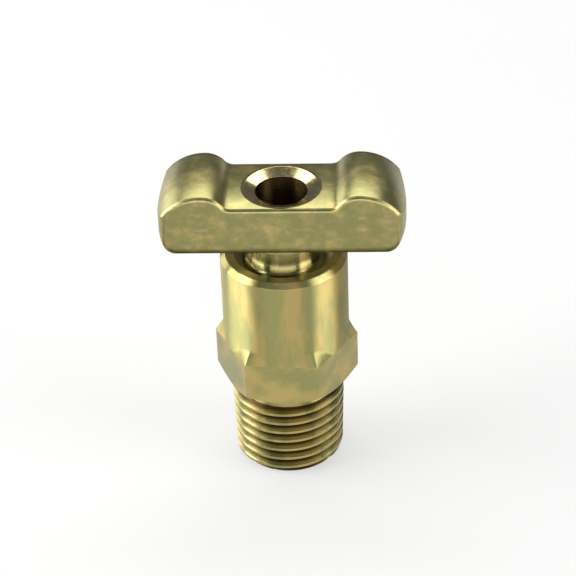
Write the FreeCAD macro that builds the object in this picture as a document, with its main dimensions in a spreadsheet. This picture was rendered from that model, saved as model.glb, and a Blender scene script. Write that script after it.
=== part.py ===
"""Engine block drain tap: a brass body with a taper thread, and a hollow screw-down spindle under a T-shaped handle.

Water enters at the threaded end, passes the cone seat and the two side ports, and leaves through the spindle's bore
in the middle of the handle. Millimetres, +Z up, origin at the middle of the threaded end's face. The tap is shut.
"""

import FreeCAD, Part

import math
import os

from FreeCAD import Placement, Rotation, Vector
import Sketcher

SIZES = {
    # taper thread that screws into the engine block, a quarter inch pipe size
    "gauge_diameter": 13.157,
    "gauge_length": 6.0,
    "taper_ratio": 16.0,
    "thread_length": 9.7,
    "thread_pitch": 1.337,
    "thread_depth": 0.83,
    "thread_half_angle": 30.0,
    "thread_phase": 0.721,
    "cutter_overhang": 0.15,
    "end_chamfer": 0.6,
    "relief_length": 1.6,
    "relief_diameter": 11.64,
    # body outside
    "hex_across_flats": 14.7,
    "hex_height": 5.4,
    "hex_turn": 3.2,
    "hex_foot_diameter": 14.5,
    "hex_foot_slope": 35.0,
    "shoulder_height": 1.5,
    "shoulder_slope": 30.0,
    "barrel_diameter": 14.9,
    "barrel_length": 11.65,
    "barrel_chamfer": 0.6,
    # body inside
    "inlet_diameter": 6.0,
    "inlet_chamfer": 0.4,
    "inlet_length": 6.5,
    "seat_diameter": 4.6,
    "seat_length": 1.7,
    "seat_half_angle": 45.0,
    "chamber_diameter": 8.0,
    "chamber_length": 7.3,
    "mouth_diameter": 11.7,
    # spindle
    "screw_diameter": 9.525,
    "screw_clearance": 0.04,
    "screw_length": 9.4,
    "screw_chamfer": 0.45,
    "neck_diameter": 8.0,
    "neck_height": 2.85,
    "collar_diameter": 9.6,
    "collar_height": 0.6,
    "guide_clearance": 0.08,
    "seat_gap": 0.05,
    "nose_diameter": 3.4,
    "port_shank_diameter": 6.8,
    "port_shank_length": 3.2,
    "port_diameter": 2.4,
    "port_rise": 0.4,
    "passage_diameter": 3.5,
    "passage_sump": 0.25,
    "outlet_diameter": 6.3,
    "outlet_depth": 16.4,
    "drill_half_angle": 59.0,
    "spigot_diameter": 7.9,
    "head_diameter": 9.3,
    "head_edge": 0.1,
    "head_lip": 0.1,
    "head_dish": 0.6,
    # seal ring in the spindle's groove
    "groove_offset": 0.8,
    "groove_height": 1.5,
    "groove_diameter": 5.7,
    "seal_clearance": 0.03,
    "seal_sides": 8,
    # handle
    "handle_length": 28.6,
    "handle_width": 10.3,
    "handle_height": 7.3,
    "end_radius": 16.6,
    "saddle_drop": 1.6,
    "knob_spacing": 17.9,
    "knob_outer_radius": 5.6,
    "knob_inner_radius": 2.9,
    "saddle_fillet": 1.4,
    "foot_radius": 1.5,
    "edge_bevel": 0.3,
}

# how near a point counts as on a plane, and how flat two faces meet in a smooth join
NEAR = 0.001
SMOOTH_ANGLE = math.radians(10)


def cell(name):
    return f"Sizes.{name}"


def half(name):
    return f"Sizes.{name} / 2"


def tan_of(name):
    return f"tan(Sizes.{name} * 1 deg)"


# Radii and heights, each as an expression on the sheet
END_RADIUS = f"({half('gauge_diameter')} - {cell('gauge_length')} / ({cell('taper_ratio')} * 2))"
CUTTER_REACH = f"({cell('thread_depth')} + {cell('cutter_overhang')})"
CUTTER_SIDE = f"({CUTTER_REACH} * {tan_of('thread_half_angle')})"
CUT_START = f"({cell('thread_phase')} - 2 * {cell('thread_pitch')})"
CUT_END = f"({cell('thread_length')} + {half('relief_length')})"
CUT_RADIUS = f"({END_RADIUS} + {CUT_START} / ({cell('taper_ratio')} * 2))"
HEX_FLOOR = f"({cell('thread_length')} + {cell('relief_length')})"
HEX_TOP = f"({HEX_FLOOR} + {cell('hex_height')})"
RIM = f"({HEX_TOP} + {cell('barrel_length')})"
SEAT_HOLE_FLOOR = (
    f"({cell('inlet_length')} + ({half('inlet_diameter')} - {half('seat_diameter')}) / {tan_of('drill_half_angle')})"
)
SEAT_FLOOR = f"({SEAT_HOLE_FLOOR} + {cell('seat_length')})"
SEAT_TOP = f"({SEAT_FLOOR} + ({half('chamber_diameter')} - {half('seat_diameter')}) / {tan_of('seat_half_angle')})"
CHAMBER_TOP = f"({SEAT_TOP} + {cell('chamber_length')})"
SCREW_BORE = f"({half('screw_diameter')} + {cell('screw_clearance')})"
SCREW_BORE_FLOOR = f"({CHAMBER_TOP} + {SCREW_BORE} - {half('chamber_diameter')})"
SCREW_FLOOR = f"({SCREW_BORE_FLOOR} + {cell('screw_clearance')})"
SCREW_TOP = f"({SCREW_FLOOR} + {cell('screw_length')})"
COLLAR_FLOOR = f"({SCREW_TOP} + {cell('neck_height')})"
HANDLE_FLOOR = f"({COLLAR_FLOOR} + {cell('collar_height')})"
SADDLE_TOP = f"({HANDLE_FLOOR} + {cell('handle_height')} - {cell('saddle_drop')})"
HEAD_EDGE_FLOOR = f"({SADDLE_TOP} - {cell('head_edge')})"
HEAD_FLARE_FLOOR = f"({HEAD_EDGE_FLOOR} - {half('head_diameter')} + {half('spigot_diameter')})"
DISH_FLOOR = f"({SADDLE_TOP} - {cell('head_dish')})"
OUTLET_FLOOR = f"({DISH_FLOOR} - {cell('outlet_depth')})"
CONE_FLOOR = f"({SEAT_FLOOR} + {cell('seat_gap')})"
PORT_SHANK_FLOOR = (
    f"({CONE_FLOOR} + ({half('port_shank_diameter')} - {half('seat_diameter')}) / {tan_of('seat_half_angle')})"
)
GUIDE_FLOOR = f"({PORT_SHANK_FLOOR} + {cell('port_shank_length')})"
GUIDE_RADIUS = f"({half('chamber_diameter')} - {cell('guide_clearance')})"
GROOVE_FLOOR = f"({GUIDE_FLOOR} + {cell('groove_offset')})"
PORT_HEIGHT = f"({PORT_SHANK_FLOOR} + {cell('port_rise')} + {half('port_diameter')})"
PASSAGE_FLOOR = f"({PORT_HEIGHT} - {half('port_diameter')} - {cell('passage_sump')})"
NOSE = f"({CONE_FLOOR} - ({half('seat_diameter')} - {half('nose_diameter')}) / {tan_of('seat_half_angle')})"


def make_sheet(doc):
    """One row for each size, with the size's name as its alias."""
    sheet = doc.addObject("Spreadsheet::Sheet", "Sizes")
    for row, (name, value) in enumerate(SIZES.items(), start=1):
        sheet.set(f"A{row}", name)
        sheet.set(f"B{row}", str(value))
        sheet.setAlias(f"B{row}", name)
    doc.recompute()


def make_body(doc, label):
    body = doc.addObject("PartDesign::Body", label)
    body.Label = label
    return body


def value_of(sketch, expression):
    """The number that an expression on the sheet gives, in millimetres."""
    result = sketch.evalExpression(expression)
    return float(getattr(result, "Value", result))


def make_sketch(body, name, plane, height=None):
    """An empty sketch on one of the body's own origin planes, raised to a height where one is given."""
    sketch = body.newObject("Sketcher::SketchObject", name)
    origin_plane = next(item for item in body.Origin.OriginFeatures if item.Role == plane)
    sketch.AttachmentSupport = [(origin_plane, "")]
    sketch.MapMode = "FlatFace"
    if height:
        sketch.setExpression("AttachmentOffset.Base.z", height)
    return sketch


def bind(sketch, kind, *where, expression):
    """A dimension of the sketch that follows the sheet. An angle starts out in radians."""
    value = value_of(sketch, expression)
    if kind == "Angle":
        value = math.radians(value)
    index = sketch.addConstraint(Sketcher.Constraint(kind, *where, value))
    sketch.setExpression(f"Constraints[{index}]", expression)


def place_point(sketch, edge, end, across, up):
    """Ties one end of an edge to the sketch's axes. A distance of None lies on the axis."""
    for kind, axis, expression in (("DistanceX", -2, across), ("DistanceY", -1, up)):
        if expression is None:
            sketch.addConstraint(Sketcher.Constraint("PointOnObject", edge, end, axis))
        else:
            bind(sketch, kind, -1, 1, edge, end, expression=expression)


def draw_outline(sketch, corners):
    """A closed outline of straight edges through corners given as (across, up) expressions."""
    points = [
        Vector(value_of(sketch, across) if across else 0, value_of(sketch, up) if up else 0, 0)
        for across, up in corners
    ]
    for index, point in enumerate(points):
        sketch.addGeometry(Part.LineSegment(point, points[(index + 1) % len(points)]), False)
    for index, (across, up) in enumerate(corners):
        sketch.addConstraint(Sketcher.Constraint("Coincident", index, 1, (index - 1) % len(corners), 2))
        place_point(sketch, index, 1, across, up)


def turn(body, kind, name, corners):
    """Material turned about the upright axis, added by a Revolution or taken away by a Groove."""
    sketch = make_sketch(body, f"{name}_profile", "XZ_Plane")
    draw_outline(sketch, corners)
    feature = body.newObject(f"PartDesign::{kind}", name)
    feature.Profile = sketch
    feature.ReferenceAxis = (sketch, ["V_Axis"])
    feature.Angle = 360
    return feature


def draw_hexagon(sketch, half_across_flats):
    """A regular hexagon by half its size across flats, turned clockwise a little against the handle."""
    corner_radius = f"({half_across_flats}) / cos(30 deg)"
    radius = value_of(sketch, corner_radius)
    turned = math.radians(60 - SIZES["hex_turn"])
    corners = [
        Vector(radius * math.cos(turned + math.radians(60 * step)), radius * math.sin(turned + math.radians(60 * step)))
        for step in range(6)
    ]
    for index, corner in enumerate(corners):
        sketch.addGeometry(Part.LineSegment(corner, corners[(index + 1) % 6]), False)
    circle = sketch.addGeometry(Part.Circle(Vector(0, 0, 0), Vector(0, 0, 1), radius), True)
    spoke = sketch.addGeometry(Part.LineSegment(Vector(0, 0, 0), corners[0]), True)
    sketch.addConstraint(Sketcher.Constraint("Coincident", circle, 3, -1, 1))
    bind(sketch, "Radius", circle, expression=corner_radius)
    sketch.addConstraint(Sketcher.Constraint("Coincident", spoke, 1, -1, 1))
    sketch.addConstraint(Sketcher.Constraint("Coincident", spoke, 2, 0, 1))
    bind(sketch, "Angle", -1, 1, spoke, 1, expression=f"60 deg - {cell('hex_turn')} * 1 deg")
    for index in range(6):
        sketch.addConstraint(Sketcher.Constraint("Coincident", index, 2, (index + 1) % 6, 1))
        sketch.addConstraint(Sketcher.Constraint("PointOnObject", index, 1, circle))
    # a side of a hexagon is as long as its corners are far from the middle, and the last side closes it
    for index in range(5):
        sketch.addConstraint(Sketcher.Constraint("Equal", spoke, index))


def cut_thread(doc, blank, label):
    """Cuts the right-hand taper thread: a V swept up a conical helix that ends in the relief."""
    path = doc.addObject("Part::Helix", "thread_path")
    path.SegmentLength = 1
    path.setExpression("Pitch", cell("thread_pitch"))
    path.setExpression("Height", f"{CUT_END} - {CUT_START}")
    path.setExpression("Radius", CUT_RADIUS)
    path.setExpression("Angle", f"atan(1 / ({cell('taper_ratio')} * 2))")
    path.setExpression("Placement.Base.z", CUT_START)

    section = doc.addObject("Sketcher::SketchObject", "thread_section")
    section.Placement = Placement(Vector(0, 0, 0), Rotation(Vector(1, 0, 0), 90))
    section.setExpression("Placement.Base.z", f"{CUT_START} - {CUTTER_SIDE}")
    outside = f"{CUT_RADIUS} + {cell('cutter_overhang')}"
    draw_outline(section, [
        (outside, None),
        (outside, f"2 * {CUTTER_SIDE}"),
        (f"{CUT_RADIUS} - {cell('thread_depth')}", CUTTER_SIDE),
    ])

    groove = doc.addObject("Part::Sweep", "thread_groove")
    groove.Sections = [section]
    groove.Spine = (path, [])
    groove.Solid = True
    groove.Frenet = True
    threaded = doc.addObject("Part::Cut", label)
    threaded.Label = label
    threaded.Base = blank
    threaded.Tool = groove
    return threaded


def make_tap_body(doc):
    """Body: taper thread, hexagon with shoulders that run out into the round barrel, seat and screwed bore."""
    body = make_body(doc, "body_blank")
    hexagon = make_sketch(body, "hexagon", "XY_Plane", HEX_FLOOR)
    draw_hexagon(hexagon, half("hex_across_flats"))
    flats = body.newObject("PartDesign::Pad", "flats")
    flats.Profile = hexagon
    flats.setExpression("Length", cell("hex_height"))

    shoulder_foot = make_sketch(body, "shoulder_foot", "XY_Plane", HEX_TOP)
    draw_hexagon(shoulder_foot, half("hex_across_flats"))
    shoulder_top = make_sketch(body, "shoulder_top", "XY_Plane", f"{HEX_TOP} + {cell('shoulder_height')}")
    draw_hexagon(shoulder_top, f"{half('hex_across_flats')} - {cell('shoulder_height')} * {tan_of('shoulder_slope')}")
    shoulders = body.newObject("PartDesign::AdditiveLoft", "shoulders")
    shoulders.Profile = shoulder_foot
    shoulders.Sections = [shoulder_top]
    shoulders.Ruled = True

    growth = f"/ ({cell('taper_ratio')} * 2)"
    turn(body, "Revolution", "turned_outside", [
        (None, None),
        (f"{END_RADIUS} - {cell('end_chamfer')}", None),
        (f"{END_RADIUS} + {cell('end_chamfer')} {growth}", cell("end_chamfer")),
        (f"{END_RADIUS} + {cell('thread_length')} {growth}", cell("thread_length")),
        (half("relief_diameter"), cell("thread_length")),
        (half("relief_diameter"), HEX_TOP),
        (half("barrel_diameter"), HEX_TOP),
        (half("barrel_diameter"), f"{RIM} - {cell('barrel_chamfer')}"),
        (f"{half('barrel_diameter')} - {cell('barrel_chamfer')}", RIM),
        (None, RIM),
    ])

    # the foot of the hexagon is faced off on a cone, which leaves the arcs at the bottom of its flats
    hex_reach = cell("hex_across_flats")
    foot_rise = f"({hex_reach} - {half('hex_foot_diameter')}) * {tan_of('hex_foot_slope')}"
    turn(body, "Groove", "hexagon_foot", [
        (half("hex_foot_diameter"), HEX_FLOOR),
        (hex_reach, HEX_FLOOR),
        (hex_reach, f"{HEX_FLOOR} + {foot_rise}"),
    ])

    mouth_depth = f"({half('mouth_diameter')} - {SCREW_BORE})"
    turn(body, "Groove", "inside", [
        (None, None),
        (f"{half('inlet_diameter')} + {cell('inlet_chamfer')}", None),
        (half("inlet_diameter"), cell("inlet_chamfer")),
        (half("inlet_diameter"), cell("inlet_length")),
        (half("seat_diameter"), SEAT_HOLE_FLOOR),
        (half("seat_diameter"), SEAT_FLOOR),
        (half("chamber_diameter"), SEAT_TOP),
        (half("chamber_diameter"), CHAMBER_TOP),
        (SCREW_BORE, SCREW_BORE_FLOOR),
        (SCREW_BORE, f"{RIM} - {mouth_depth}"),
        (half("mouth_diameter"), RIM),
        (None, RIM),
    ])
    return cut_thread(doc, body, "body")


def make_spindle(doc):
    """Spindle: cone nose, side ports, seal groove, screw and a spigot whose dished head is spread in the handle."""
    body = make_body(doc, "spindle")
    drill_rise = f"({half('outlet_diameter')} - {half('passage_diameter')}) / {tan_of('drill_half_angle')}"
    thread_inset = f"({half('screw_diameter')} - {cell('screw_chamfer')})"
    turn(body, "Revolution", "turned_spindle", [
        (None, NOSE),
        (half("nose_diameter"), NOSE),
        (half("port_shank_diameter"), PORT_SHANK_FLOOR),
        (half("port_shank_diameter"), GUIDE_FLOOR),
        (GUIDE_RADIUS, GUIDE_FLOOR),
        (GUIDE_RADIUS, GROOVE_FLOOR),
        (half("groove_diameter"), GROOVE_FLOOR),
        (half("groove_diameter"), f"{GROOVE_FLOOR} + {cell('groove_height')}"),
        (GUIDE_RADIUS, f"{GROOVE_FLOOR} + {cell('groove_height')}"),
        (GUIDE_RADIUS, SCREW_FLOOR),
        (thread_inset, SCREW_FLOOR),
        (half("screw_diameter"), f"{SCREW_FLOOR} + {cell('screw_chamfer')}"),
        (half("screw_diameter"), f"{SCREW_TOP} - {cell('screw_chamfer')}"),
        (half("neck_diameter"), SCREW_TOP),
        (half("neck_diameter"), COLLAR_FLOOR),
        (half("collar_diameter"), COLLAR_FLOOR),
        (half("collar_diameter"), HANDLE_FLOOR),
        (half("spigot_diameter"), HANDLE_FLOOR),
        (half("spigot_diameter"), HEAD_FLARE_FLOOR),
        (half("head_diameter"), HEAD_EDGE_FLOOR),
        (half("head_diameter"), SADDLE_TOP),
        (f"{half('head_diameter')} - {cell('head_lip')}", SADDLE_TOP),
        (half("outlet_diameter"), DISH_FLOOR),
        (half("outlet_diameter"), OUTLET_FLOOR),
        (half("passage_diameter"), f"{OUTLET_FLOOR} - {drill_rise}"),
        (half("passage_diameter"), PASSAGE_FLOOR),
        (None, PASSAGE_FLOOR),
    ])

    # one drilling straight through makes the two side ports
    port_circle = make_sketch(body, "port_circle", "YZ_Plane")
    height = value_of(port_circle, PORT_HEIGHT)
    port_circle.addGeometry(Part.Circle(Vector(0, height, 0), Vector(0, 0, 1), SIZES["port_diameter"] / 2), False)
    bind(port_circle, "Diameter", 0, expression=cell("port_diameter"))
    place_point(port_circle, 0, 3, None, PORT_HEIGHT)
    ports = body.newObject("PartDesign::Pocket", "side_ports")
    ports.Profile = port_circle
    ports.Type = "ThroughAll"
    ports.Midplane = True
    return body


def make_seal(doc):
    """Rubber ring, squeezed between the groove's floor and the chamber's wall. Its round section has few sides."""
    body = make_body(doc, "o_ring")
    middle = f"({half('chamber_diameter')} + {half('groove_diameter')}) / 2"
    cord = f"(({half('chamber_diameter')} - {half('groove_diameter')}) / 2 - {cell('seal_clearance')})"
    level = f"({GROOVE_FLOOR} + {half('groove_height')})"
    step = f"(360 deg / {cell('seal_sides')})"
    turn(body, "Revolution", "moulded_ring", [
        (f"{middle} + {cord} * cos({side} * {step})", f"{level} + {cord} * sin({side} * {step})")
        for side in range(SIZES["seal_sides"])
    ])
    return body


def draw_side_of_handle(sketch):
    """Right half of the handle seen from the front: flat saddle, hollow fillet, round knob and straight end."""
    top = value_of(sketch, f"{HANDLE_FLOOR} + {cell('handle_height')}")
    floor = value_of(sketch, HANDLE_FLOOR)
    knob_x = SIZES["knob_spacing"] / 2
    outer = SIZES["knob_outer_radius"]
    inner = SIZES["knob_inner_radius"]
    fillet = SIZES["saddle_fillet"]
    fall = math.acos(1 - SIZES["saddle_drop"] / (inner + fillet))
    saddle_end = Vector(knob_x - (inner + fillet) * math.sin(fall), top - SIZES["saddle_drop"])
    bend = Vector(knob_x - inner * math.sin(fall), top - inner + inner * math.cos(fall))
    crown = Vector(knob_x, top)
    shoulder = Vector(knob_x + outer, top - outer)
    foot = Vector(knob_x + outer, floor)
    middle_floor = Vector(0, floor)
    middle_top = Vector(0, saddle_end.y)

    def arc(centre, radius, first, last):
        return Part.ArcOfCircle(Part.Circle(centre, Vector(0, 0, 1), radius), first, last)

    quarter = math.pi / 2
    sketch.addGeometry([
        Part.LineSegment(middle_floor, foot),
        Part.LineSegment(foot, shoulder),
        arc(Vector(knob_x, shoulder.y), outer, 0, quarter),
        arc(Vector(knob_x, top - inner), inner, quarter, quarter + fall),
        arc(Vector(saddle_end.x, saddle_end.y + fillet), fillet, -quarter, fall - quarter),
        Part.LineSegment(saddle_end, middle_top),
        Part.LineSegment(middle_top, middle_floor),
    ], False)
    floor_edge, end_edge, outer_arc, inner_arc, fillet_arc, saddle, middle = range(7)
    for first, first_end, second, second_end in (
        (floor_edge, 2, end_edge, 1),
        (saddle, 2, middle, 1),
        (middle, 2, floor_edge, 1),
    ):
        sketch.addConstraint(Sketcher.Constraint("Coincident", first, first_end, second, second_end))
    for first, first_end, second, second_end in (
        (end_edge, 2, outer_arc, 1),
        (outer_arc, 2, inner_arc, 1),
        (inner_arc, 2, fillet_arc, 2),
        (fillet_arc, 1, saddle, 1),
    ):
        sketch.addConstraint(Sketcher.Constraint("Tangent", first, first_end, second, second_end))
    sketch.addConstraint(Sketcher.Constraint("Horizontal", floor_edge))
    sketch.addConstraint(Sketcher.Constraint("Vertical", end_edge))
    sketch.addConstraint(Sketcher.Constraint("Horizontal", saddle))
    sketch.addConstraint(Sketcher.Constraint("PointOnObject", middle, 1, -2))
    sketch.addConstraint(Sketcher.Constraint("PointOnObject", middle, 2, -2))
    bind(sketch, "DistanceY", -1, 1, floor_edge, 1, expression=HANDLE_FLOOR)
    bind(sketch, "DistanceY", -1, 1, saddle, 1, expression=SADDLE_TOP)
    bind(sketch, "DistanceX", -1, 1, outer_arc, 3, expression=half("knob_spacing"))
    bind(sketch, "DistanceY", -1, 1, outer_arc, 2, expression=f"{HANDLE_FLOOR} + {cell('handle_height')}")
    bind(sketch, "Radius", outer_arc, expression=cell("knob_outer_radius"))
    bind(sketch, "Radius", inner_arc, expression=cell("knob_inner_radius"))
    bind(sketch, "Radius", fillet_arc, expression=cell("saddle_fillet"))


def draw_end_waste(sketch):
    """What is cut off outside the bowed end of the handle, seen from above."""
    reach = SIZES["handle_length"] / 2
    radius = SIZES["end_radius"]
    across = SIZES["handle_width"]
    centre = Vector(reach - radius, 0)
    sweep = math.asin(across / radius)
    tip_x = centre.x + radius * math.cos(sweep)
    outside = reach + across
    sketch.addGeometry([
        Part.ArcOfCircle(Part.Circle(centre, Vector(0, 0, 1), radius), -sweep, sweep),
        Part.LineSegment(Vector(tip_x, across), Vector(outside, across)),
        Part.LineSegment(Vector(outside, across), Vector(outside, -across)),
        Part.LineSegment(Vector(outside, -across), Vector(tip_x, -across)),
    ], False)
    bow, upper, outer, lower = range(4)
    for first, first_end, second, second_end in (
        (bow, 2, upper, 1),
        (upper, 2, outer, 1),
        (outer, 2, lower, 1),
        (lower, 2, bow, 1),
    ):
        sketch.addConstraint(Sketcher.Constraint("Coincident", first, first_end, second, second_end))
    sketch.addConstraint(Sketcher.Constraint("PointOnObject", bow, 3, -1))
    sketch.addConstraint(Sketcher.Constraint("Horizontal", upper))
    sketch.addConstraint(Sketcher.Constraint("Horizontal", lower))
    sketch.addConstraint(Sketcher.Constraint("Vertical", outer))
    bind(sketch, "Radius", bow, expression=cell("end_radius"))
    bind(sketch, "DistanceX", bow, 3, -1, 1, expression=f"{cell('end_radius')} - {half('handle_length')}")
    bind(sketch, "DistanceX", -1, 1, outer, 1, expression=f"{half('handle_length')} + {cell('handle_width')}")
    bind(sketch, "DistanceY", -1, 1, upper, 2, expression=cell("handle_width"))
    bind(sketch, "DistanceY", lower, 1, -1, 1, expression=cell("handle_width"))


def break_edges(body, kind, name, amount, size, wanted):
    """Rounds (Fillet, Radius) or bevels (Chamfer, Size) those edges of the body's present shape that the test wants."""
    body.Document.recompute()
    base = body.Tip
    names = [f"Edge{index}" for index, edge in enumerate(base.Shape.Edges, start=1) if wanted(base.Shape, edge)]
    feature = body.newObject(f"PartDesign::{kind}", name)
    feature.Base = (base, names)
    feature.setExpression(amount, size)


def make_handle(doc):
    """Handle: a forged bar with a round knob at each end, a flat saddle, and an eye that the spindle's head fills."""
    body = make_body(doc, "handle")
    side = make_sketch(body, "side", "XZ_Plane")
    draw_side_of_handle(side)
    bar = body.newObject("PartDesign::Pad", "half_bar")
    bar.Profile = side
    bar.Midplane = True
    bar.setExpression("Length", cell("handle_width"))

    waste = make_sketch(body, "end_waste", "XY_Plane")
    draw_end_waste(waste)
    bowed_end = body.newObject("PartDesign::Pocket", "bowed_end")
    bowed_end.Profile = waste
    bowed_end.Type = "ThroughAll"
    bowed_end.Midplane = True

    both = body.newObject("PartDesign::Mirrored", "both_halves")
    both.Originals = [bar, bowed_end]
    both.MirrorPlane = (side, ["V_Axis"])
    body.Tip = both
    doc.recompute()

    floor = value_of(side, HANDLE_FLOOR)
    reach = SIZES["knob_spacing"] / 2

    def is_foot(shape, edge):
        return edge.BoundBox.ZMax < floor + NEAR and abs(edge.CenterOfMass.x) > reach

    break_edges(body, "Fillet", "rounded_feet", "Radius", cell("foot_radius"), is_foot)
    break_edges(body, "Chamfer", "broken_edges", "Size", cell("edge_bevel"), is_sharp)

    turn(body, "Groove", "eye", [
        (None, f"{HANDLE_FLOOR} - {cell('collar_height')}"),
        (half("spigot_diameter"), f"{HANDLE_FLOOR} - {cell('collar_height')}"),
        (half("spigot_diameter"), HEAD_FLARE_FLOOR),
        (half("head_diameter"), HEAD_EDGE_FLOOR),
        (half("head_diameter"), f"{SADDLE_TOP} + {cell('saddle_drop')}"),
        (None, f"{SADDLE_TOP} + {cell('saddle_drop')}"),
    ])
    return body


def is_sharp(shape, edge):
    """Whether the two faces at an edge meet at an angle, so that the edge isn't a smooth join."""
    faces = [face for face in shape.Faces if any(edge.isSame(other) for other in face.Edges)]
    if len(faces) < 2:
        return False
    middle = edge.valueAt((edge.FirstParameter + edge.LastParameter) / 2)
    normals = [face.normalAt(*face.Surface.parameter(middle)) for face in faces]
    return normals[0].getAngle(normals[1]) > SMOOTH_ANGLE


def check(doc, parts):
    """Stops before anything is written where an object failed or a piece isn't one sound solid."""
    for item in doc.Objects:
        if "Invalid" in item.State or "Error" in item.State:
            raise RuntimeError(f"{item.Label} did not compute")
    for part in parts:
        shape = part.Shape
        if shape.isNull() or not shape.isValid() or len(shape.Solids) != 1:
            raise RuntimeError(f"{part.Label} is not one sound solid")
        box = shape.optimalBoundingBox(True)
        print(f"{part.Label}: {shape.Volume:.2f} mm3, z {box.ZMin:.3f} to {box.ZMax:.3f}")
        print(f"    x {box.XMin:.3f} to {box.XMax:.3f}, y {box.YMin:.3f} to {box.YMax:.3f}")


def main():
    doc = FreeCAD.newDocument("drain_tap")
    make_sheet(doc)
    parts = [make_tap_body(doc), make_spindle(doc), make_seal(doc), make_handle(doc)]
    doc.recompute()
    check(doc, parts)
    os.makedirs("parts", exist_ok=True)
    for part in parts:
        part.Shape.exportStep(f"parts/{part.Label}.step")


main()
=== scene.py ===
"""Brass drain tap for an engine block, standing on its threaded end: the looks of each piece."""

import math

import bmesh
import bpy
import numpy as np
from mathutils import Matrix, Vector


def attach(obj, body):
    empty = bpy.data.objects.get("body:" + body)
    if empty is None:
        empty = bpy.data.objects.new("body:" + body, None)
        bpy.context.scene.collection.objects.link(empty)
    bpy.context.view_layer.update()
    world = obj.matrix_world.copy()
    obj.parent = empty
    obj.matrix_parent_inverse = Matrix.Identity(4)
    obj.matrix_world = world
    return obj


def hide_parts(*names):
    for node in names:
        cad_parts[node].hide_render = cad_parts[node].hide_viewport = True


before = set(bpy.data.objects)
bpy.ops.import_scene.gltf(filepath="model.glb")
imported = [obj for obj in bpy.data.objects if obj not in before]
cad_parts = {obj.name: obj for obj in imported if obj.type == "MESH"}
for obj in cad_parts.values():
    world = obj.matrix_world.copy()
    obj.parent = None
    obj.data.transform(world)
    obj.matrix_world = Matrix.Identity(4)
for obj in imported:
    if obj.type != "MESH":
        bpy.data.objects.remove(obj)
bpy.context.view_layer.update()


# Tap body
# One piece of brass bar: a taper thread cut by a die at the foot, a relief under a milled hexagon, and a
# barrel turned on a lathe with a countersunk mouth. It screws into the block, and the spindle screws into it.

MM = 0.001
WELD = 0.002 * MM


class Shade:
    """A socket of a material's or a shape's node tree that can be reckoned with like a number or a vector."""

    def __init__(self, tree, socket):
        self.tree = tree
        self.socket = socket

    def node(self, kind, settings=None, **inputs):
        """Adds a node, sets it up, feeds its sockets by number (i0) or name, and gives its first live output."""
        made = self.tree.nodes.new(kind)
        for name, value in (settings or {}).items():
            setattr(made, name, value)
        for name, value in inputs.items():
            socket = made.inputs[int(name[1:])] if name[1:].isdigit() else made.inputs[name.replace("_", " ")]
            if isinstance(value, Shade):
                self.tree.links.new(value.socket, socket)
            else:
                socket.default_value = value
        return Shade(self.tree, next(output for output in made.outputs if output.enabled))

    def math(self, operation, other=0.0):
        return self.node("ShaderNodeMath", {"operation": operation}, i0=self, i1=other)

    def __add__(self, other):
        return self.math("ADD", other)

    def __mul__(self, other):
        return self.math("MULTIPLY", other)

    def __sub__(self, other):
        return self.math("SUBTRACT", other)

    def __rsub__(self, other):
        return (self * -1.0) + other

    def __truediv__(self, other):
        return self.math("DIVIDE", other)

    def between(self, low, high):
        """0 below low, 1 above high, with a soft rise in between. With low above high it falls instead."""
        smooth = {"interpolation_type": "SMOOTHSTEP"}
        return self.node("ShaderNodeMapRange", smooth, Value=self, From_Min=low, From_Max=high)

    def scaled(self, factors):
        return self.node("ShaderNodeVectorMath", {"operation": "MULTIPLY"}, i0=self, i1=factors)

    def length(self):
        measured = self.node("ShaderNodeVectorMath", {"operation": "LENGTH"}, i0=self)
        return Shade(self.tree, measured.socket.node.outputs["Value"])

    def part(self, axis):
        split = self.node("ShaderNodeSeparateXYZ", i0=self)
        return Shade(self.tree, split.socket.node.outputs[axis])

    def noise(self, scale, detail=3.0, roughness=0.55):
        return self.node("ShaderNodeTexNoise", Vector=self, Scale=scale, Detail=detail, Roughness=roughness)

    def blend(self, first, second):
        """The first colour where this is 0 and the second where it is 1."""
        return self.node("ShaderNodeMix", {"data_type": "RGBA"}, i0=self, i6=first, i7=second)

    def bump(self, strength, millimetres, **under):
        """The normal of a surface with this as its relief, over another normal if one is given."""
        return self.node("ShaderNodeBump", Strength=strength, Distance=millimetres * MM, Height=self, **under)


def start_material(name, metallic=0.0):
    """An empty material with its surface shader, and the object's coordinates in millimetres."""
    made = bpy.data.materials.new(name)
    made.use_nodes = True
    tree = made.node_tree
    shader = tree.nodes["Principled BSDF"]
    shader.inputs["Metallic"].default_value = metallic
    coordinates = tree.nodes.new("ShaderNodeTexCoord")
    place = Shade(tree, coordinates.outputs["Object"]).scaled((1 / MM, 1 / MM, 1 / MM))
    return made, shader, place


def feed(shader, name, value):
    shader.id_data.links.new(value.socket, shader.inputs[name])


def rgb(red, green, blue):
    return (red, green, blue, 1.0)


GOLD = rgb(0.45, 0.35, 0.13)
OLIVE = rgb(0.29, 0.28, 0.11)
PINKISH = rgb(0.50, 0.36, 0.21)
# This dark brown serves as grime in random specks, and as painted shade in a thread's roots.
GRIME_AND_SHADE = rgb(0.08, 0.06, 0.025)
# Dark brown painted as shade inside a bore.
BORE_SHADE_BROWN = rgb(0.13, 0.065, 0.028)

THREAD_PITCH = 1.337
THREAD_END_RADIUS = 6.391
THREAD_GROWTH = 1 / 32
RIM = 28.35
RIM_CHAMFER = 0.6


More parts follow.
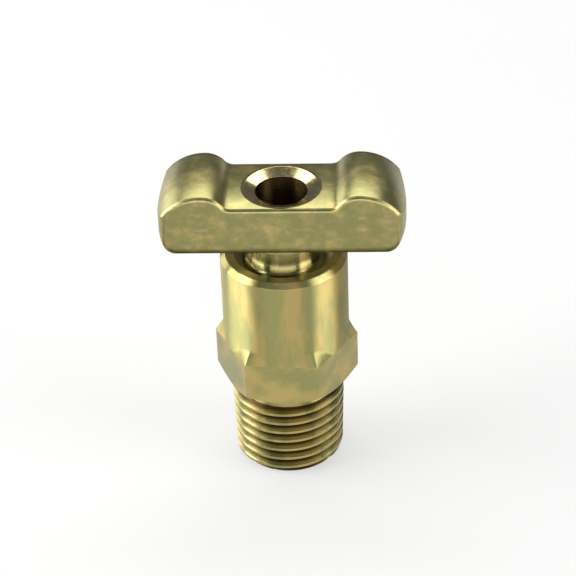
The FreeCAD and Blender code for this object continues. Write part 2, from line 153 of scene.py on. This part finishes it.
def turned_brass(name, brushed, ring_scale, roughness, shaded_bore=None, shaded_roots=False):
    """Brass off the lathe, cloudy and ringed round its axis, with painted shade in a bore and painted shade with
    grime in a thread's roots, where asked.
    """
    made, shader, place = start_material(name, metallic=1.0)
    radius = place.scaled((1.0, 1.0, 0.0)).length()
    height = place.part(2)
    clouds = place.scaled((1.0, 1.0, 0.3)).noise(0.4, 4.0)
    specks = place.noise(1.9, 5.0, 0.65)
    tone = clouds.between(0.4, 0.6).blend(OLIVE, GOLD)
    tone = (specks.between(0.52, 0.78) * 0.35).blend(tone, PINKISH)
    tone = (place.noise(6.5, 3.0).between(0.62, 0.8) * 0.35).blend(tone, GRIME_AND_SHADE)
    # Painted shade: the inside of the bore is darkened towards brown.
    if shaded_bore:
        bore_shade = radius.between(shaded_bore + 0.06, shaded_bore - 0.02)
        tone = (bore_shade * 0.9).blend(tone, BORE_SHADE_BROWN)
    # Painted shade, with some grime: the deeper a thread's root, the darker it is painted.
    if shaded_roots:
        depth = height * THREAD_GROWTH + THREAD_END_RADIUS - radius
        tone = (depth.between(0.12, 0.6) * 0.92).blend(tone, GRIME_AND_SHADE)
    feed(shader, "Base Color", tone)
    shader.inputs["Anisotropic"].default_value = brushed
    shader.inputs["Anisotropic Rotation"].default_value = 0.25
    smoother_rim = height.between(RIM - RIM_CHAMFER - 0.1, RIM - RIM_CHAMFER + 0.05) * 0.16
    feed(shader, "Roughness", clouds.between(0.3, 0.7) * 0.08 + specks * 0.08 + roughness - smoother_rim)
    rings = place.scaled((0.25, 0.25, ring_scale)).noise(1.0, 4.0, 0.7)
    dents = place.noise(2.2, 3.0)
    feed(shader, "Normal", (rings + dents * 0.25).bump(0.35, 0.02))
    return made


body_brass = turned_brass("turned_brass", 0.95, 9.0, 0.40)

flat_brass, flat_shader, flat_place = start_material("milled_flats", metallic=1.0)
flat_clouds = flat_place.noise(0.33, 4.0)
flat_stains = flat_place.noise(2.4, 4.0, 0.65).between(0.5, 0.75) * 0.35
flat_tone = flat_stains.blend(flat_clouds.between(0.36, 0.64).blend(OLIVE, GOLD), PINKISH)
feed(flat_shader, "Base Color", flat_tone)
feed(flat_shader, "Roughness", flat_clouds * 0.14 + flat_place.noise(3.0, 3.0) * 0.1 + 0.22)
mill_marks = flat_place.scaled((0.4, 0.4, 5.0)).noise(1.0, 4.0, 0.7)
feed(flat_shader, "Normal", mill_marks.bump(0.3, 0.02))

# The thread's roots get painted shade, with some grime.
thread_brass = turned_brass("threaded_brass", 0.5, 5.0, 0.22, shaded_roots=True)

END_ROW = 99.0


def thread_tree():
    """Winds a flat strip, in turns across and pitches up, into a thread whose ends run out in plain rings."""
    tree = bpy.data.node_groups.new("wound_thread", "GeometryNodeTree")
    tree.interface.new_socket("Geometry", in_out="INPUT", socket_type="NodeSocketGeometry")
    for name in (
        "Pitch", "Depth", "Crest flat", "Root flat", "First root", "Floor", "Top", "Floor radius", "Growth",
        "Floor chamfer radius", "Top chamfer radius", "Top root radius",
        "Floor ring radius", "Top ring radius",
    ):
        tree.interface.new_socket(name, in_out="INPUT", socket_type="NodeSocketFloat")
    tree.interface.new_socket("Material", in_out="INPUT", socket_type="NodeSocketMaterial")
    tree.interface.new_socket("Geometry", in_out="OUTPUT", socket_type="NodeSocketGeometry")
    source = tree.nodes.new("NodeGroupInput")
    sink = tree.nodes.new("NodeGroupOutput")

    def size(name):
        return Shade(tree, source.outputs[name])

    strip = Shade(tree, tree.nodes.new("GeometryNodeInputPosition").outputs[0])
    turns, pitches = strip.part(0), strip.part(1)
    raw = (turns + pitches) * size("Pitch") + size("First root")
    height = raw.math("MAXIMUM", size("Floor")).math("MINIMUM", size("Top"))
    phase = ((height - size("First root")) / size("Pitch") - turns).math("FRACT")
    slope = (phase * 2.0 - 1.0).math("ABSOLUTE")
    cut = (slope - size("Crest flat")) / (1.0 - size("Crest flat") - size("Root flat"))
    cut = cut.math("MAXIMUM", 0.0).math("MINIMUM", 1.0)
    above = height - size("Floor")
    below = size("Top") - height
    run_out_slope = 0.25
    radius = size("Floor radius") + above * size("Growth") - cut * size("Depth")
    radius = radius.math("MINIMUM", size("Floor chamfer radius") + above)
    radius = radius.math("MINIMUM", size("Top chamfer radius") + below)
    radius = radius.math("MAXIMUM", size("Top root radius") - below * run_out_slope)
    first_row = pitches.math("LESS_THAN", -END_ROW / 2)
    last_row = pitches.math("GREATER_THAN", END_ROW / 2)
    radius = radius * (1.0 - first_row - last_row)
    radius = radius + first_row * size("Floor ring radius") + last_row * size("Top ring radius")
    angle = turns * math.tau
    wound = radius.node(
        "ShaderNodeCombineXYZ", X=radius * angle.math("COSINE"), Y=radius * angle.math("SINE"), Z=height
    )
    shape = size("Geometry")
    shape = shape.node("GeometryNodeSetPosition", Geometry=shape, Position=wound)
    shape = shape.node("GeometryNodeMergeByDistance", Geometry=shape, Distance=WELD)
    shape = shape.node("GeometryNodeRealizeInstances", Geometry=shape)
    shape = shape.node("GeometryNodeSetMaterial", Geometry=shape, Material=size("Material"))
    tree.links.new(shape.socket, sink.inputs[0])
    return tree


THREAD_TREE = thread_tree()


def wind_thread(name, angles, rows_per_pitch, sizes, material):
    """A strip with a column for each angle, wound by the thread's tree and given back as a plain mesh."""
    lowest = math.floor((sizes["Floor"] - sizes["First root"]) / sizes["Pitch"]) - 2
    highest = math.ceil((sizes["Top"] - sizes["First root"]) / sizes["Pitch"]) + 1
    steps = (highest - lowest) * rows_per_pitch + 1
    rows = [-END_ROW] + [lowest + step / rows_per_pitch for step in range(steps)] + [END_ROW]
    columns = [angle / math.tau for angle in angles] + [angles[0] / math.tau + 1.0]
    points = [(column, row, 0.0) for row in rows for column in columns]
    wide = len(columns)
    first_corners = [row * wide + column for row in range(len(rows) - 1) for column in range(wide - 1)]
    faces = [(corner, corner + 1, corner + wide + 1, corner + wide) for corner in first_corners]
    strip = bpy.data.meshes.new(name)
    strip.from_pydata(points, [], faces)
    carrier = bpy.data.objects.new(name, strip)
    bpy.context.scene.collection.objects.link(carrier)
    modifier = carrier.modifiers.new("thread", "NODES")
    modifier.node_group = THREAD_TREE
    for item in THREAD_TREE.interface.items_tree:
        if item.in_out == "INPUT" and item.name in sizes:
            modifier[item.identifier] = sizes[item.name]
        if item.in_out == "INPUT" and item.name == "Material":
            modifier[item.identifier] = material
    evaluated = carrier.evaluated_get(bpy.context.evaluated_depsgraph_get())
    wound = bpy.data.meshes.new_from_object(evaluated)
    bpy.data.objects.remove(carrier)
    return wound


def soften(corners):
    """Rounds a line of (across, up, radius) corners. Each rounded corner gives seven points, the others one.

    A rounding takes no more than a set share of the stretches beside it. Its outer two points lie a little
    way along those stretches, and keep them flat.
    """
    least, longest_share, outer_reach, steps = 0.002, 0.3, 1.5, 4
    points = []
    for index, (across, up, radius) in enumerate(corners):
        corner = Vector((across, up))
        if not radius:
            points.append(corner)
            continue
        back = Vector(corners[index - 1][:2]) - corner
        ahead = Vector(corners[index + 1][:2]) - corner
        turn = math.pi - back.angle(ahead, math.pi)
        reach = min(
            radius * math.tan(turn / 2) + least, longest_share * back.length, longest_share * ahead.length
        )
        back.normalize()
        ahead.normalize()
        points.append(corner + back * reach * outer_reach)
        for step in range(steps + 1):
            share = step / steps
            points.append(corner + back * reach * (1 - share) ** 2 + ahead * reach * share ** 2)
        points.append(corner + ahead * reach * outer_reach)
    return points


def sweep_round(mesh, angles, outline_at, material_at):
    """Adds to a mesh the skin that an outline makes as it goes round the axis, a column for each angle."""
    rings = [
        [mesh.verts.new((point.x * MM * math.cos(angle), point.x * MM * math.sin(angle), point.y * MM))
         for point in outline_at(angle)]
        for angle in angles
    ]
    for near, far in zip(rings, rings[1:] + rings[:1]):
        for row in range(len(near) - 1):
            face = mesh.faces.new((near[row], far[row], far[row + 1], near[row + 1]))
            face.material_index = material_at(face)


def finish_mesh(mesh, name, materials, sharp_above=32):
    """Closes a mesh, turns its faces outwards and makes it an object that lies where its points are."""
    bmesh.ops.remove_doubles(mesh, verts=mesh.verts, dist=WELD)
    bmesh.ops.dissolve_degenerate(mesh, edges=mesh.edges, dist=WELD / 4)
    bmesh.ops.recalc_face_normals(mesh, faces=mesh.faces)
    for face in mesh.faces:
        face.smooth = True
    data = bpy.data.meshes.new(name)
    mesh.to_mesh(data)
    mesh.free()
    for material in materials:
        data.materials.append(material)
    data.set_sharp_from_angle(angle=math.radians(sharp_above))
    piece = bpy.data.objects.new(name, data)
    bpy.context.scene.collection.objects.link(piece)
    return piece


THREAD_TOP = 9.7
RELIEF_RADIUS = 5.82
END_CHAMFER = 0.6
INLET_RADIUS = 3.0
INLET_CHAMFER = 0.4
HEX_FOOT = 11.3
HEX_TOP = 16.7
HEX_FOOT_RADIUS = 7.25
HEX_FLAT_REACH = 7.35
HEX_SIXTH = math.radians(60)
HEX_CORNER = math.radians(-3.2)
EDGE_TURN = math.radians(0.85)
BARREL_RADIUS = 7.45
MOUTH_RADIUS = 5.85
SCREWED_RADIUS = 4.803
CHAMBER_RADIUS = 4.0
THROAT_RADIUS = 2.3
BODY_COLUMNS = 288

body_angles = sorted(
    {round(HEX_CORNER + math.tau * step / BODY_COLUMNS, 6) for step in range(BODY_COLUMNS)}
    | {
        round(HEX_CORNER + HEX_SIXTH * corner + side, 6)
        for corner in range(6)
        for side in (-EDGE_TURN, -EDGE_TURN / 2, EDGE_TURN / 2, EDGE_TURN)
    }
)


def turn_off_corner(angle):
    """How far an angle is from that of the hexagon's nearest corner."""
    return abs((angle - HEX_CORNER + HEX_SIXTH / 2) % HEX_SIXTH - HEX_SIXTH / 2)


def hexagon_reach(angle):
    """How far the hexagon reaches at an angle, with its upright edges a little rounded."""
    rounding = 0.25
    off_corner = turn_off_corner(angle)
    centre = (HEX_FLAT_REACH - rounding) / math.cos(HEX_SIXTH / 2)
    if off_corner > math.atan2(rounding / 2, centre + rounding * math.cos(HEX_SIXTH / 2)):
        return HEX_FLAT_REACH / math.cos(HEX_SIXTH / 2 - off_corner)
    return centre * math.cos(off_corner) + math.sqrt(rounding ** 2 - (centre * math.sin(off_corner)) ** 2)


def body_outline(angle):
    """The body cut by a half plane through its axis, from the relief up the outside and down the inside."""
    foot_slope, shoulder_rise, shoulder_spread = math.radians(35), 1.5, math.radians(21)
    hexagon = hexagon_reach(angle)
    foot = HEX_FOOT + (hexagon - HEX_FOOT_RADIUS) * math.tan(foot_slope)
    shoulder = HEX_TOP + shoulder_rise * max(0.02, 1 - (turn_off_corner(angle) / shoulder_spread) ** 2)
    screwed_floor, chamber_top = 18.423, 17.621
    seat_top, seat_foot = 10.321, 8.621
    throat_foot, inlet_top = 6.921, 6.5
    return soften([
        (RELIEF_RADIUS, THREAD_TOP, 0),
        (RELIEF_RADIUS, HEX_FOOT, 0.3),
        (HEX_FOOT_RADIUS, HEX_FOOT, 0.12),
        (hexagon, foot, 0.15),
        (hexagon, HEX_TOP, 0.15),
        (BARREL_RADIUS, shoulder, 1.2),
        (BARREL_RADIUS, RIM - RIM_CHAMFER, 0.15),
        (BARREL_RADIUS - RIM_CHAMFER, RIM, 0.15),
        (MOUTH_RADIUS, RIM, 0.1),
        (SCREWED_RADIUS, RIM - (MOUTH_RADIUS - SCREWED_RADIUS), 0),
        (SCREWED_RADIUS, screwed_floor, 0),
        (CHAMBER_RADIUS, chamber_top, 0),
        (CHAMBER_RADIUS, seat_top, 0),
        (THROAT_RADIUS, seat_foot, 0),
        (THROAT_RADIUS, throat_foot, 0),
        (INLET_RADIUS, inlet_top, 0),
        (INLET_RADIUS, INLET_CHAMFER, 0),
        (INLET_RADIUS + INLET_CHAMFER, 0.0, 0),
    ])


def body_finish(face):
    """0 for turned faces and 1 for the hexagon's milled ones."""
    middle = face.calc_center_median() / MM
    beyond_relief = math.hypot(middle.x, middle.y) > HEX_FOOT_RADIUS - 0.05
    return 1 if beyond_relief and HEX_FOOT - 0.1 < middle.z < HEX_TOP + 0.01 else 0


taper_thread = wind_thread("taper_thread", body_angles, 16, {
    "Pitch": THREAD_PITCH * MM,
    "Depth": 0.83 * MM,
    "Crest flat": 0.2835,
    "Root flat": 0.03,
    "First root": (0.398 + THREAD_PITCH * 86.95 / 360) * MM,
    "Floor": 0.0,
    "Top": THREAD_TOP * MM,
    "Floor radius": THREAD_END_RADIUS * MM,
    "Growth": THREAD_GROWTH,
    "Floor chamfer radius": (THREAD_END_RADIUS - END_CHAMFER) * MM,
    "Top chamfer radius": 6.55 * MM,
    "Top root radius": (RELIEF_RADIUS + 0.01) * MM,
    "Floor ring radius": (INLET_RADIUS + INLET_CHAMFER) * MM,
    "Top ring radius": RELIEF_RADIUS * MM,
}, thread_brass)

body_mesh = bmesh.new()
sweep_round(body_mesh, body_angles, body_outline, body_finish)
turned_faces = len(body_mesh.faces)
body_mesh.from_mesh(taper_thread)
body_mesh.faces.ensure_lookup_table()
for thread_face in body_mesh.faces[turned_faces:]:
    thread_face.material_index = 2
tap = finish_mesh(body_mesh, "tap_body_brass", [body_brass, flat_brass, thread_brass])
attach(tap, "tap_body")
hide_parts("body")


# O-ring
# A moulded rubber ring in the spindle's groove, which keeps the water out of the screw. It is seen only when
# the tap is taken apart, so it keeps its plain shape and has a rubber finish.

rubber, rubber_shader, rubber_place = start_material("nitrile_rubber")
rubber_wear = rubber_place.noise(1.5, 3.0)
rubber_tone = rubber_wear.between(0.4, 0.7).blend(rgb(0.018, 0.018, 0.018), rgb(0.04, 0.038, 0.035))
feed(rubber_shader, "Base Color", rubber_tone)
feed(rubber_shader, "Roughness", rubber_wear * 0.2 + 0.42)
feed(rubber_shader, "Normal", rubber_place.noise(9.0, 2.0).bump(0.2, 0.01))
for material_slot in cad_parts["o_ring"].material_slots:
    material_slot.material = rubber


# Spindle
# Turned brass: cone nose, two drilled side ports, groove for the ring, a fine screw, a neck, and a hollow
# spigot whose end is spread into the handle's eye with a dished punch. Its bore is the tap's outlet.

SPINDLE_COLUMNS = 144
NOSE_TIP = 8.071
GUIDE_RADIUS = 3.92
GROOVE_RADIUS = 2.85
SCREW_FLOOR = 18.463
SCREW_TOP = 27.863
SCREW_END_RADIUS = 4.3
NECK_RADIUS = 4.0
COLLAR_RADIUS = 4.8
COLLAR_FLOOR = 30.713
HANDLE_FLOOR = 31.313
SADDLE = 37.013
SPIGOT_RADIUS = 3.95
DISH_FOOT = 36.46
LIP_RADIUS = 3.04
OUTLET_RADIUS = 3.15
WATERWAY_RADIUS = 1.75

spindle_angles = [round(math.tau * step / SPINDLE_COLUMNS, 6) for step in range(SPINDLE_COLUMNS)]
# The outlet bore gets painted shade.
spindle_brass = turned_brass("spindle_brass", 0.95, 9.0, 0.34, shaded_bore=OUTLET_RADIUS)

punched_brass, punched_shader, punched_place = start_material("punched_head", metallic=1.0)
punched_wear = punched_place.noise(1.6, 4.0)
punched_tone = punched_wear.between(0.4, 0.65).blend(rgb(0.42, 0.37, 0.17), rgb(0.52, 0.42, 0.22))
feed(punched_shader, "Base Color", punched_tone)
feed(punched_shader, "Roughness", punched_wear * 0.1 + 0.1)
feed(punched_shader, "Normal", punched_place.noise(3.0, 3.0).bump(0.25, 0.02))

below_screw = soften([
    (0.0, NOSE_TIP, 0),
    (1.7, NOSE_TIP, 0.1),
    (3.4, NOSE_TIP + 1.7, 0.1),
    (3.4, 12.971, 0.1),
    (GUIDE_RADIUS, 12.971, 0.08),
    (GUIDE_RADIUS, 13.771, 0.08),
    (GROOVE_RADIUS, 13.771, 0.1),
    (GROOVE_RADIUS, 15.271, 0.1),
    (GUIDE_RADIUS, 15.271, 0.08),
    (GUIDE_RADIUS, SCREW_FLOOR, 0),
])
above_screw = soften([
    (SCREW_END_RADIUS, SCREW_TOP, 0),
    (NECK_RADIUS, SCREW_TOP + 0.9, 1.5),
    (NECK_RADIUS, COLLAR_FLOOR, 0.3),
    (COLLAR_RADIUS, COLLAR_FLOOR, 0.05),
    (COLLAR_RADIUS, HANDLE_FLOOR, 0),
    (SPIGOT_RADIUS, HANDLE_FLOOR, 0),
    (SPIGOT_RADIUS, 36.213, 0),
    (4.65, 36.913, 0),
    (4.65, SADDLE, 0),
    (4.35, SADDLE, 0.1),
    (LIP_RADIUS, DISH_FOOT, 0.03),
    (LIP_RADIUS, 36.2, 0),
    (OUTLET_RADIUS, 36.1, 0),
    (OUTLET_RADIUS, 20.013, 0),
    (WATERWAY_RADIUS, 19.172, 0),
    (WATERWAY_RADIUS, 9.921, 0),
    (0.0, 9.921, 0),
])


def head_finish(face):
    """1 for the dished head and 0 for the rest."""
    return 1 if face.calc_center_median().z > (DISH_FOOT - 0.08) * MM else 0


screw = wind_thread("spindle_screw", spindle_angles, 12, {
    "Pitch": 0.977 * MM,
    "Depth": 0.6 * MM,
    "Crest flat": 0.1667,
    "Root flat": 0.1667,
    "First root": 0.3 * MM,
    "Floor": SCREW_FLOOR * MM,
    "Top": SCREW_TOP * MM,
    "Floor radius": 4.7625 * MM,
    "Growth": 0.0,
    "Floor chamfer radius": SCREW_END_RADIUS * MM,
    "Top chamfer radius": (SCREW_END_RADIUS + 0.01) * MM,
    "Top root radius": 4.155 * MM,
    "Floor ring radius": GUIDE_RADIUS * MM,
    "Top ring radius": SCREW_END_RADIUS * MM,
}, spindle_brass)

spindle_mesh = bmesh.new()
sweep_round(spindle_mesh, spindle_angles, lambda angle: below_screw, lambda face: 0)
sweep_round(spindle_mesh, spindle_angles, lambda angle: above_screw, head_finish)
spindle_mesh.from_mesh(screw)
spindle = finish_mesh(spindle_mesh, "spindle_brass_stem", [spindle_brass, punched_brass])


def cut_away(piece, cutter_mesh, sharp_above=32):
    """Takes a closed cutter out of a piece for good, and keeps the piece's shading."""
    data = bpy.data.meshes.new("cutter")
    bmesh.ops.recalc_face_normals(cutter_mesh, faces=cutter_mesh.faces)
    cutter_mesh.to_mesh(data)
    cutter_mesh.free()
    cutter = bpy.data.objects.new("cutter", data)
    bpy.context.scene.collection.objects.link(cutter)
    modifier = piece.modifiers.new("cut", "BOOLEAN")
    modifier.operation = "DIFFERENCE"
    modifier.solver = "EXACT"
    modifier.object = cutter
    evaluated = piece.evaluated_get(bpy.context.evaluated_depsgraph_get())
    cut = bpy.data.meshes.new_from_object(evaluated)
    piece.modifiers.remove(modifier)
    piece.data = cut
    bpy.data.objects.remove(cutter)
    cut.set_sharp_from_angle(angle=math.radians(sharp_above))


PORT_RADIUS = 1.2
PORT_HEIGHT = 11.371

port_drill = bmesh.new()
bmesh.ops.create_cone(
    port_drill, cap_ends=True, segments=48, radius1=PORT_RADIUS * MM, radius2=PORT_RADIUS * MM, depth=12 * MM,
    matrix=Matrix.Translation((0, 0, PORT_HEIGHT * MM)) @ Matrix.Rotation(math.pi / 2, 4, "Y"),
)
cut_away(spindle, port_drill)
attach(spindle, "screw_spindle")
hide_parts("spindle")


# Handle
# Forged brass bar with a round knob at each end and a flat saddle between them, linished on its flat sides.
# Its eye takes the spindle's spigot, and the spread head keeps it there.

HANDLE_TOP = 38.613
HALF_LENGTH = 14.298
END_CURVE = 16.6
HALF_WIDTH = 5.15
RIM_ROUNDING = 0.35

handle_brass, handle_shader, handle_place = start_material("forged_brass", metallic=1.0)
handle_clouds = handle_place.noise(0.45, 5.0, 0.65)
handle_patches = handle_place.scaled((0.5, 1.0, 1.0)).noise(1.3, 5.0, 0.65)
handle_tone = handle_clouds.between(0.45, 0.8).blend(rgb(0.25, 0.24, 0.095), GOLD)
handle_tone = (handle_patches.between(0.5, 0.72) * 0.45).blend(handle_tone, PINKISH)
handle_tone = (handle_place.noise(5.0, 4.0).between(0.6, 0.8) * 0.3).blend(handle_tone, GRIME_AND_SHADE)
feed(handle_shader, "Base Color", handle_tone)
feed(handle_shader, "Roughness", handle_clouds * 0.12 + handle_patches * 0.14 + 0.22)
from_middle = handle_place.part(1)
crown = (from_middle * from_middle * (-0.5 / 25.0)).bump(1.0, 1.0)
linished = handle_place.scaled((0.5, 4.0, 4.0)).noise(1.0, 4.0, 0.7)
handle_relief = linished * 0.5 + handle_place.noise(1.2, 3.0)
feed(handle_shader, "Normal", handle_relief.bump(0.35, 0.03, Normal=crown))


def handle_outline(y):
    """The handle's outline seen from the front, at y from its middle plane, anticlockwise from the floor."""
    knob, outer, inner, hollow, edge, foot = 8.95, 5.6, 2.9, 1.4, 0.45, 1.5
    end = HALF_LENGTH - END_CURVE + math.sqrt(END_CURVE ** 2 - y ** 2)
    fall = math.acos(1 - (HANDLE_TOP - SADDLE) / (inner + hollow))
    edge_x = end - edge
    edge_z = HANDLE_TOP - outer + math.sqrt((outer - edge) ** 2 - (edge_x - knob) ** 2)
    lean = math.atan2(edge_z - (HANDLE_TOP - outer), edge_x - knob)

    def arc(x, z, radius, first, last, steps):
        return [
            (x + radius * math.cos(first + (last - first) * step / steps),
             z + radius * math.sin(first + (last - first) * step / steps))
            for step in range(steps + 1)
        ]

    right = [(x, HANDLE_FLOOR) for x in (1.5, 3.0, 5.0, 7.5, 10.0, end - foot - 0.5)]
    right += arc(end - foot, HANDLE_FLOOR + foot, foot, -math.pi / 2, 0, 8)
    right += [(end, HANDLE_FLOOR + foot + 0.6), (end, edge_z - 0.5)]
    right += arc(edge_x, edge_z, edge, 0, lean, 5)
    right += arc(knob, HANDLE_TOP - outer, outer, lean, math.pi / 2, 16)[1:]
    right += arc(knob, HANDLE_TOP - inner, inner, math.pi / 2, math.pi / 2 + fall, 14)[1:]
    hollow_x = knob - (inner + hollow) * math.sin(fall)
    right += arc(hollow_x, SADDLE + hollow, hollow, fall - math.pi / 2, -math.pi / 2, 8)[1:]
    right += [(hollow_x - 0.3, SADDLE), (3.0, SADDLE), (1.5, SADDLE)]
    left = [(-x, z) for x, z in reversed(right)]
    return np.array([(0.0, HANDLE_FLOOR)] + right + [(0.0, SADDLE)] + left)


def shrink(outline, inset):
    """The outline drawn in towards the metal by an inset, along its own normals, and by less low down."""
    full_from, fade, least = 36.0, 2.5, 0.15
    along = np.roll(outline, -1, axis=0) - np.roll(outline, 1, axis=0)
    along /= np.linalg.norm(along, axis=1)[:, None]
    normal = np.stack([along[:, 1], -along[:, 0]], axis=1)
    share = np.clip(1 - (full_from - outline[:, 1:]) / fade, least, 1.0)
    return outline - normal * inset * share


stations = []
for step in range(6):
    swing = math.pi / 2 * step / 5
    rim_inset = RIM_ROUNDING * (1 - math.cos(swing))
    stations.append((-HALF_WIDTH + RIM_ROUNDING * (1 - math.sin(swing)), rim_inset))
stations.append((-HALF_WIDTH + RIM_ROUNDING + 0.15, 0.0))
stations += [(y, 0.0) for y in (-3.8, -2.6, -1.3, 0.0)]
stations += [(-y, inset) for y, inset in reversed(stations[:-1])]

handle_mesh = bmesh.new()
loops = []
for y, inset in stations:
    outline = shrink(handle_outline(y), inset)
    loops.append([handle_mesh.verts.new((x * MM, y * MM, z * MM)) for x, z in outline])
for near, far in zip(loops, loops[1:]):
    for index in range(len(near)):
        after = (index + 1) % len(near)
        handle_mesh.faces.new((near[index], near[after], far[after], far[index]))
for end_loop in (loops[0], loops[-1]):
    handle_mesh.faces.new(end_loop)
handle = finish_mesh(handle_mesh, "forged_handle", [handle_brass])

eye_outline = soften([
    (0.0, 30.0, 0),
    (SPIGOT_RADIUS + 0.02, 30.0, 0),
    (SPIGOT_RADIUS + 0.02, 36.2, 0),
    (4.67, 36.9, 0),
    (4.67, 39.5, 0),
    (0.0, 39.5, 0),
])
eye = bmesh.new()
sweep_round(eye, spindle_angles, lambda angle: eye_outline, lambda face: 0)
bmesh.ops.remove_doubles(eye, verts=eye.verts, dist=WELD)
cut_away(handle, eye)
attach(handle, "screw_spindle")
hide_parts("handle")


# Bench, light and camera
# The tap stands on plain pale paper, which shines a little of itself. Two large soft lamps light it from the
# sides, one from behind and above, a small one from behind on the left and a low wide one from the front.

paper, paper_shader, paper_place = start_material("pale_paper")
paper_tone = paper_place.noise(0.02, 2.0).blend(rgb(0.26, 0.26, 0.256), rgb(0.28, 0.28, 0.276))
feed(paper_shader, "Base Color", paper_tone)
rays = paper.node_tree.nodes.new("ShaderNodeLightPath")
mirrored = Shade(paper.node_tree, rays.outputs["Is Glossy Ray"])
seen = Shade(paper.node_tree, rays.outputs["Is Camera Ray"]).math("MAXIMUM", mirrored)
feed(paper_shader, "Emission Color", seen.blend(rgb(0.0, 0.0, 0.0), rgb(0.5, 0.5, 0.5)))
paper_shader.inputs["Emission Strength"].default_value = 1.0
paper_shader.inputs["Roughness"].default_value = 0.8
paper_shader.inputs["Specular IOR Level"].default_value = 0.1
floor_mesh = bmesh.new()
bmesh.ops.create_grid(floor_mesh, x_segments=1, y_segments=1, size=2.0)
floor = finish_mesh(floor_mesh, "paper_floor", [paper])

world = bpy.data.worlds.new("studio")
bpy.context.scene.world = world
world.use_nodes = True
sky = world.node_tree.nodes["Background"]
sky.inputs["Color"].default_value = rgb(0.8, 0.82, 0.85)
sky.inputs["Strength"].default_value = 0.22


def soft_lamp(name, azimuth, elevation, distance, width, height, power):
    """A soft box that looks at the tap, by its bearing from the front (positive to the right) and its rise."""
    aim = Vector((0, 0, 0.02))
    turn, rise = math.radians(azimuth), math.radians(elevation)
    way = Vector((math.sin(turn) * math.cos(rise), -math.cos(turn) * math.cos(rise), math.sin(rise)))
    light = bpy.data.lights.new(name, "AREA")
    light.shape = "RECTANGLE"
    light.size = width
    light.size_y = height
    light.energy = power
    lamp = bpy.data.objects.new(name, light)
    lamp.location = aim + way * distance
    lamp.rotation_euler = way.to_track_quat("Z", "Y").to_euler()
    bpy.context.scene.collection.objects.link(lamp)


soft_lamp("left_box", -84, 21, 0.5, 0.44, 0.38, 4.7)
soft_lamp("right_box", 72, 20, 0.5, 0.34, 0.38, 2.7)
soft_lamp("back_strip", -177, 58, 0.5, 0.66, 0.22, 2.2)
soft_lamp("back_left_card", -128, 12, 0.5, 0.24, 0.24, 0.6)
soft_lamp("front_fill", 0, 12, 0.6, 0.95, 0.25, 2.7)

CAMERA_TURN = math.radians(3.05)
CAMERA_RISE = math.radians(35.7)
CAMERA_ROLL = math.radians(2.15)
CAMERA_DISTANCE = 0.3
CAMERA_AIM = Vector((0, 0, 0.017))
PICTURE_SIDE_PIXELS = 576
FOCAL_PIXELS = 2523
SHIFT_RIGHT_PIXELS = 1.5
SHIFT_UP_PIXELS = 40.6
SENSOR_MM = 36.0

back = Vector((
    math.cos(CAMERA_RISE) * math.sin(CAMERA_TURN),
    -math.cos(CAMERA_RISE) * math.cos(CAMERA_TURN),
    math.sin(CAMERA_RISE),
))
level = Vector((math.cos(CAMERA_TURN), math.sin(CAMERA_TURN), 0))
upright = back.cross(level)
right = level * math.cos(CAMERA_ROLL) - upright * math.sin(CAMERA_ROLL)
up = level * math.sin(CAMERA_ROLL) + upright * math.cos(CAMERA_ROLL)
lens = bpy.data.cameras.new("photo_view")
lens.sensor_width = SENSOR_MM
lens.lens = FOCAL_PIXELS / PICTURE_SIDE_PIXELS * SENSOR_MM
lens.shift_x = SHIFT_RIGHT_PIXELS / PICTURE_SIDE_PIXELS
lens.shift_y = SHIFT_UP_PIXELS / PICTURE_SIDE_PIXELS
camera = bpy.data.objects.new("photo_view", lens)
turned = Matrix((right, up, back)).transposed().to_4x4()
camera.matrix_world = Matrix.Translation(CAMERA_AIM + back * CAMERA_DISTANCE) @ turned
bpy.context.scene.collection.objects.link(camera)
bpy.context.scene.camera = camera
bpy.context.scene.view_settings.view_transform = "Standard"
